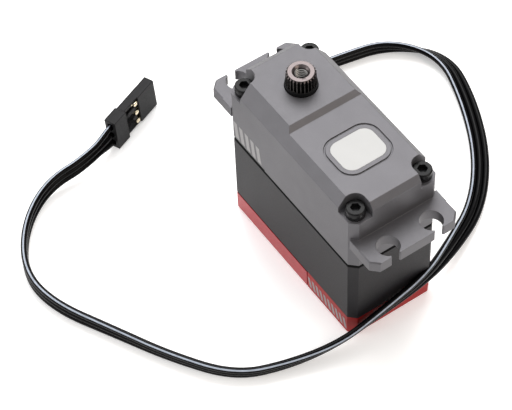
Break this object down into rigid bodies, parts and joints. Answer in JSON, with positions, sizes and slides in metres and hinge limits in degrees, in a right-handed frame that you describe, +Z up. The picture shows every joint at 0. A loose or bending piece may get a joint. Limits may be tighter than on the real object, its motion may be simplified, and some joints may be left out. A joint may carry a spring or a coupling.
{
  "type": "hobby servo motor",
  "caption": "Standard-size hobby servo: metal case with slotted mounting ears, gear train, splined output shaft and flat three-wire lead with plug.",
  "frame": {"origin": "centre of the case's bottom face", "axes": "+Z up along the output shaft, +X along the case towards the output-shaft end, +Y towards one long side"},
  "size_m": [0.0836, 0.1063, 0.0445],
  "materials": {
    "gunmetal_aluminium": "matt anodised",
    "black_aluminium": "matt black anodised",
    "red_plastic": "fine matt moulding",
    "black_rubber": "matt",
    "black_oxide_steel": "black oxide",
    "white_inlay": "satin",
    "spline_steel": "dark hard-anodised teeth, bright bore",
    "gear_steel": "ground",
    "gear_brass": "machined",
    "bearing_steel": "polished",
    "can_aluminium": "turned",
    "core_steel": "laminated",
    "copper_wire": "enamelled",
    "magnet_nickel": "nickel plated",
    "board_laminate": "solder resist",
    "chip_plastic": "moulded",
    "capacitor_sleeve": "sleeved",
    "wire_insulation": "soft",
    "lead_insulation": "glossy vinyl",
    "plug_plastic": "moulded nylon",
    "contact_gold": "gold plated"
  },
  "bodies": {
    "case": {"upper_case": "gunmetal_aluminium", "middle_case": "black_aluminium", "base_shell_motor_end": "red_plastic", "base_shell_lead_end": "red_plastic", "upper_seal": "black_rubber", "lower_seal": "black_rubber", "shaft_o_ring": "black_rubber", "cable_grommet": "black_rubber", "case_screws": "black_oxide_steel", "motor_screws": "black_oxide_steel", "badge_plate": "white_inlay", "idler_washers": "gear_brass", "idler_pin": "bearing_steel", "motor_can": "can_aluminium", "motor_end_cap": "can_aluminium", "motor_stator": "core_steel", "motor_windings": "copper_wire", "motor_leads": "wire_insulation", "lead_tails": "wire_insulation", "control_board": "board_laminate", "microcontroller": "chip_plastic", "position_sensor": "chip_plastic", "driver_transistors": "chip_plastic", "power_capacitor": "capacitor_sleeve", "lead_cable": "lead_insulation", "plug_housing": "plug_plastic", "plug_contacts": "contact_gold", "upper_bearing_outer_ring": "bearing_steel", "upper_bearing_balls": "bearing_steel", "lower_bearing_outer_ring": "bearing_steel", "lower_bearing_balls": "bearing_steel", "motor_bearing_outer_rings": "bearing_steel", "motor_bearing_balls": "bearing_steel"},
    "rotor": {"rotor_magnet": "magnet_nickel", "rotor_hub": "core_steel", "motor_shaft": "bearing_steel", "motor_pinion": "gear_steel", "motor_bearing_inner_rings": "bearing_steel"},
    "gear_1": {"gear_1_wheel": "gear_brass", "gear_1_pinion": "gear_steel"},
    "gear_2": {"gear_2_wheel": "gear_brass", "gear_2_pinion": "gear_steel"},
    "gear_3": {"gear_3_wheel": "gear_brass", "gear_3_pinion": "gear_steel"},
    "output": {"output_shaft": "spline_steel", "output_gear": "gear_steel", "dust_collar": "black_oxide_steel", "output_spacer": "gear_brass", "upper_bearing_inner_ring": "bearing_steel", "lower_bearing_inner_ring": "bearing_steel", "magnet_holder": "can_aluminium", "sensor_magnet": "magnet_nickel"}
  },
  "joints": [
    {"name": "motor_spin", "type": "hinge", "parent": "case", "child": "rotor", "pos_m": [-0.01005, 0, 0.0245], "axis": [0, 0, 1], "range_deg": [-17280, 17280]},
    {"name": "gear_1_turn", "type": "hinge", "parent": "case", "child": "gear_1", "pos_m": [-0.00005, 0, 0.0245], "axis": [0, 0, 1], "range_deg": [-4320, 4320]},
    {"name": "gear_2_turn", "type": "hinge", "parent": "case", "child": "gear_2", "pos_m": [0.00995, 0, 0.0272], "axis": [0, 0, 1], "range_deg": [-1080, 1080]},
    {"name": "gear_3_turn", "type": "hinge", "parent": "case", "child": "gear_3", "pos_m": [-0.00005, 0, 0.03], "axis": [0, 0, 1], "range_deg": [-270, 270]},
    {"name": "output_turn", "type": "hinge", "parent": "case", "child": "output", "pos_m": [0.00995, 0, 0.0368], "axis": [0, 0, 1], "range_deg": [-90, 90]}
  ],
  "couplings": [
    {"joint": "gear_1_turn", "follows": "motor_spin", "ratio": -0.25},
    {"joint": "gear_2_turn", "follows": "motor_spin", "ratio": 0.0625},
    {"joint": "gear_3_turn", "follows": "motor_spin", "ratio": -0.015625},
    {"joint": "output_turn", "follows": "motor_spin", "ratio": 0.0052083}
  ]
}
